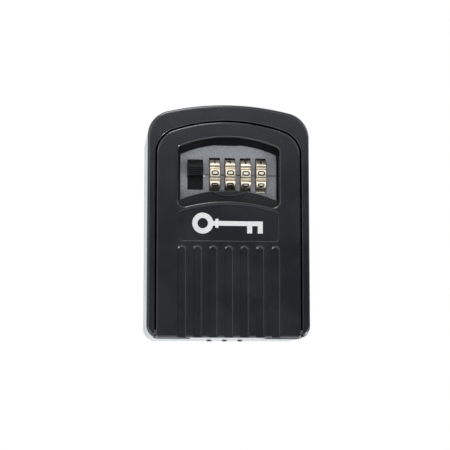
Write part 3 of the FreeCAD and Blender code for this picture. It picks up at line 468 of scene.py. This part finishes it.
def addDigits(wheel):
    low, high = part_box(f"number_wheel_{wheel}")
    centre = (low.x + high.x) / 2
    axis = Vector(jointPlace[f"wheel_{wheel}_spin"])
    look = digitLook
    mesh = bmesh.new()
    inner = (look["width"] - look["line"]) / 2, (look["height"] - look["line"]) / 2
    for digit, strokes in digitStrokes.items():
        # 0 faces the viewer; each next number sits a tenth of a turn further up
        turn = math.radians(look["restTurn"][wheel - 1] + 360.0 / len(digitStrokes) * digit)

        def place(x, y, proud):
            angle = turn + y / look["radius"]
            reach = look["radius"] + proud
            return Vector((centre + x, axis.y - reach * math.cos(angle),
                           axis.z + reach * math.sin(angle)))

        for stroke in strokes:
            closed = stroke[0] == stroke[-1] or math.dist(stroke[0], stroke[-1]) < 1e-6
            points = [(x * inner[0], y * inner[1]) for x, y in smooth(stroke)]
            strokeRibbon(mesh, points, look["line"], place, closed)
    bmesh.ops.recalc_face_normals(mesh, faces=mesh.faces)
    data = bpy.data.meshes.new(f"wheel_numbers_{wheel}")
    mesh.to_mesh(data)
    mesh.free()
    data.materials.append(finishes["digitEnamel"])
    piece = bpy.data.objects.new(data.name, data)
    bpy.context.scene.collection.objects.link(piece)
    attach(piece, f"wheel_{wheel}")


for wheel in range(1, 5):
    addDigits(wheel)
print("wheel numbers set")


# the coil spring under the latch: a copy of its mesh rides with the door in place of the CAD spring


def addClosingSpring():
    data = nodes["latch_spring"].data.copy()
    data.name = "latch_coil"
    piece = bpy.data.objects.new(data.name, data)
    piece.matrix_world = nodes["latch_spring"].matrix_world
    bpy.context.scene.collection.objects.link(piece)
    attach(piece, "door")
    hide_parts("latch_spring")
    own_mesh(piece)


addClosingSpring()
print("latch spring set")


# studio: white surround, bright behind; in front it is dim at eye level, brighter above, below and left

studioLook = {
    "tint": (0.92, 0.97, 1.0), "behind": 1.05, "behindFrom": -0.45, "behindTo": 0.15,
    "front": 0.03, "frontTop": 1.65, "frontTopFrom": 0.13, "frontTopTo": 0.31,
    "overhead": 0.35, "overheadFrom": 0.42, "overheadTo": 0.75,
    "frontLow": 0.22, "frontLowFrom": 0.09, "frontLowTo": -0.03,
    "leftGain": 0.12, "leftFrom": 0.15, "leftTo": 0.02,
    "floorHeight": -0.30, "floorSize": 6.0, "floorColour": (0.9, 0.9, 0.9), "floorRough": 0.9,
    "floorGlow": 0.35,
}


def addFloor(look):
    mesh = bmesh.new()
    bmesh.ops.create_grid(mesh, x_segments=2, y_segments=2, size=look["floorSize"] / 2)
    data = bpy.data.meshes.new("studioFloor")
    mesh.to_mesh(data)
    mesh.free()
    floor = bpy.data.objects.new("studioFloor", data)
    floor.location = (0, 0, look["floorHeight"])
    bpy.context.scene.collection.objects.link(floor)
    material, tree, shader = startMaterial("studioFloorPaint")
    shader.inputs["Base Color"].default_value = (*look["floorColour"], 1)
    shader.inputs["Roughness"].default_value = look["floorRough"]
    shader.inputs["Emission Color"].default_value = (1, 1, 1, 1)
    shader.inputs["Emission Strength"].default_value = look["floorGlow"]
    data.materials.append(material)


def makeSurround(look):
    world = bpy.data.worlds.new("studioSurround")
    world.use_nodes = True
    bpy.context.scene.world = world
    tree = world.node_tree
    background = tree.nodes["Background"]
    place = newNode(tree, "ShaderNodeTexCoord", (-1000, 0))
    split = newNode(tree, "ShaderNodeSeparateXYZ", (-800, 0))
    tree.links.new(place.outputs["Generated"], split.inputs[0])
    high = remap(tree, split.outputs["Z"], look["frontTopFrom"], look["frontTopTo"], (-600, -150),
                 look["front"], look["frontTop"])
    fade = remap(tree, split.outputs["Z"], look["overheadFrom"], look["overheadTo"], (-600, -50), 1.0,
                 look["overhead"])
    high = mathNode(tree, "MULTIPLY", high, fade, (-500, -100))
    left = remap(tree, split.outputs["X"], look["leftFrom"], look["leftTo"], (-600, -300), 0.0,
                 look["leftGain"])
    low = remap(tree, split.outputs["Z"], look["frontLowFrom"], look["frontLowTo"], (-600, -450), 0.0,
                look["frontLow"])
    high = mathNode(tree, "ADD", high, left, (-450, -200))
    high = mathNode(tree, "ADD", high, low, (-400, -300))
    behind = remap(tree, split.outputs["Y"], look["behindFrom"], look["behindTo"], (-600, 100))
    level = newNode(tree, "ShaderNodeMix", (-400, 0), data_type="FLOAT")
    tree.links.new(behind, level.inputs[0])
    tree.links.new(high, level.inputs[2])
    level.inputs[3].default_value = look["behind"]
    seen = newNode(tree, "ShaderNodeLightPath", (-600, -400))
    mixed = newNode(tree, "ShaderNodeMix", (-200, 0), data_type="FLOAT")
    tree.links.new(seen.outputs["Is Camera Ray"], mixed.inputs[0])
    tree.links.new(level.outputs[0], mixed.inputs[2])
    mixed.inputs[3].default_value = 1.0
    tree.links.new(mixed.outputs[0], background.inputs["Strength"])
    colour = mixColour(tree, seen.outputs["Is Camera Ray"], look["tint"], (1.0, 1.0, 1.0), (-200, -250))
    tree.links.new(colour, background.inputs["Color"])


softBoxLooks = {
    "topBox": dict(at=(-0.15, -0.42, 0.80), towards=(0, 0, 0), size=(0.42, 0.30), power=5.0,
                   colour=(1.0, 1.0, 1.0)),
    "leftBox": dict(at=(-0.75, -0.75, 0.05), towards=(0, 0, 0.0), size=(0.35, 0.7), power=1.6,
                    colour=(0.90, 0.95, 1.0)),
    "lowBox": dict(at=(0.28, -0.14, -0.27), towards=(0.02, -0.03, -0.05), size=(0.30, 0.30), power=0.8,
                   colour=(0.93, 0.97, 1.0)),
    "glintBox": dict(at=(0.42, -0.42, -0.27), towards=(0, -0.03, 0), size=(0.045, 0.045), power=1.5,
                     colour=(0.85, 0.95, 1.0)),
}


def addSoftBox(name, look):
    light = bpy.data.lights.new(name, "AREA")
    light.shape = "RECTANGLE"
    light.size, light.size_y = look["size"]
    light.energy = look["power"]
    light.color = look["colour"]
    lamp = bpy.data.objects.new(name, light)
    lamp.location = look["at"]
    aim = Vector(look["towards"]) - Vector(look["at"])
    lamp.rotation_euler = aim.to_track_quat("-Z", "Y").to_euler()
    bpy.context.scene.collection.objects.link(lamp)


addFloor(studioLook)
makeSurround(studioLook)
for name, look in softBoxLooks.items():
    addSoftBox(name, look)


cameraLook = {"azimuth": -5.877, "elevation": -6.92, "distance": 0.700, "target": (0.0, -0.020, 0.0),
              "lens": 106.0, "sensor": 36.0, "clip": (0.01, 50.0)}


def addCamera(look):
    around, up = math.radians(look["azimuth"]), math.radians(look["elevation"])
    back = Vector((math.sin(around) * math.cos(up), -math.cos(around) * math.cos(up), math.sin(up)))
    data = bpy.data.cameras.new("viewCamera")
    data.lens, data.sensor_width = look["lens"], look["sensor"]
    data.clip_start, data.clip_end = look["clip"]
    camera = bpy.data.objects.new("viewCamera", data)
    camera.location = Vector(look["target"]) + back * look["distance"]
    camera.rotation_euler = (-back).to_track_quat("-Z", "Y").to_euler()
    bpy.context.scene.collection.objects.link(camera)
    bpy.context.scene.camera = camera


addCamera(cameraLook)
bpy.context.scene.view_settings.view_transform = "Standard"
print("studio and camera set")
